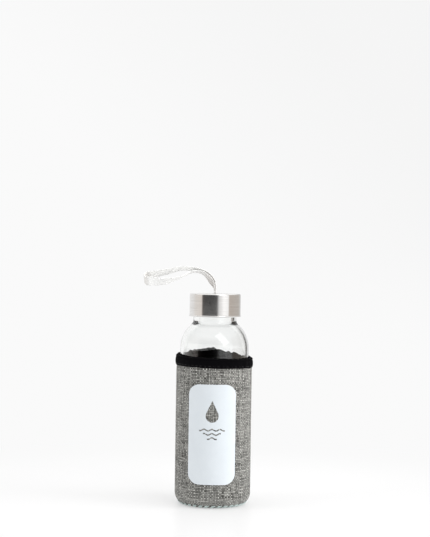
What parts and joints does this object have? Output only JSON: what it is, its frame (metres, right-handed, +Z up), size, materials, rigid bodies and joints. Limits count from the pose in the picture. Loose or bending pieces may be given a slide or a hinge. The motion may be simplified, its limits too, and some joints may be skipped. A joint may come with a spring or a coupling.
{
  "type": "glass water bottle with a fabric sleeve",
  "caption": "Small clear glass water bottle with a screw-on brushed steel cap, a ribbon carrying loop and a sewn foam sleeve with black binding and a white printed panel.",
  "frame": {"origin": "centre of the sleeve's underside, on the surface that the bottle stands on", "axes": "+Z up along the bottle's axis; -Y is the front, with the printed panel; the loop leans towards -X"},
  "size_m": [0.0981, 0.0684, 0.208],
  "materials": {
    "glass": "gloss",
    "brushed_steel": "satin",
    "liner_plastic": "satin",
    "seal_silicone": "matte",
    "ribbon": "matte",
    "ribbon_thread": "matte",
    "melange_cloth": "matte",
    "foam": "matte",
    "lining_cloth": "matte",
    "black_tape": "matte",
    "light_thread": "matte",
    "black_thread": "matte",
    "white_print": "matte"
  },
  "bodies": {
    "sleeve": {"sleeve_face": "melange_cloth", "sleeve_foam": "foam", "sleeve_lining": "lining_cloth", "base_face": "melange_cloth", "base_foam": "foam", "base_lining": "lining_cloth", "top_binding": "black_tape", "binding_stitches": "black_thread", "base_stitches": "light_thread", "back_seam_stitches": "light_thread", "print_panel": "white_print"},
    "bottle": {"glass_bottle": "glass"},
    "cap_carrier": {"strap_washer": "brushed_steel"},
    "cap": {"cap_shell": "brushed_steel", "cap_insert": "liner_plastic", "seal_ring": "seal_silicone"},
    "strap_neck": {"strap_root": "ribbon", "strap_bartack": "ribbon_thread"},
    "strap": {"strap_loop": "ribbon"}
  },
  "joints": [
    {"name": "bottle_lift", "type": "slide", "parent": "sleeve", "child": "bottle", "axis": [0, 0, 1], "range_m": [0, 0.14]},
    {"name": "cap_rise", "type": "slide", "parent": "bottle", "child": "cap_carrier", "axis": [0, 0, 1], "range_m": [0, 0.026]},
    {"name": "cap_turn", "type": "hinge", "parent": "cap_carrier", "child": "cap", "pos_m": [0, 0, 0.17], "axis": [0, 0, 1], "range_deg": [0, 2160]},
    {"name": "strap_swivel", "type": "hinge", "parent": "cap_carrier", "child": "strap_neck", "pos_m": [0, 0, 0.183], "axis": [0, 0, 1], "continuous": true},
    {"name": "strap_swing", "type": "hinge", "parent": "strap_neck", "child": "strap", "pos_m": [0, 0, 0.1855], "axis": [0, 1, 0], "range_deg": [-20, 90], "stiffness_Nm_per_rad": 0.004, "springref_deg": 1.49}
  ],
  "couplings": [
    {"joint": "cap_rise", "follows": "cap_turn", "m_per_rad": 0.0006737}
  ]
}
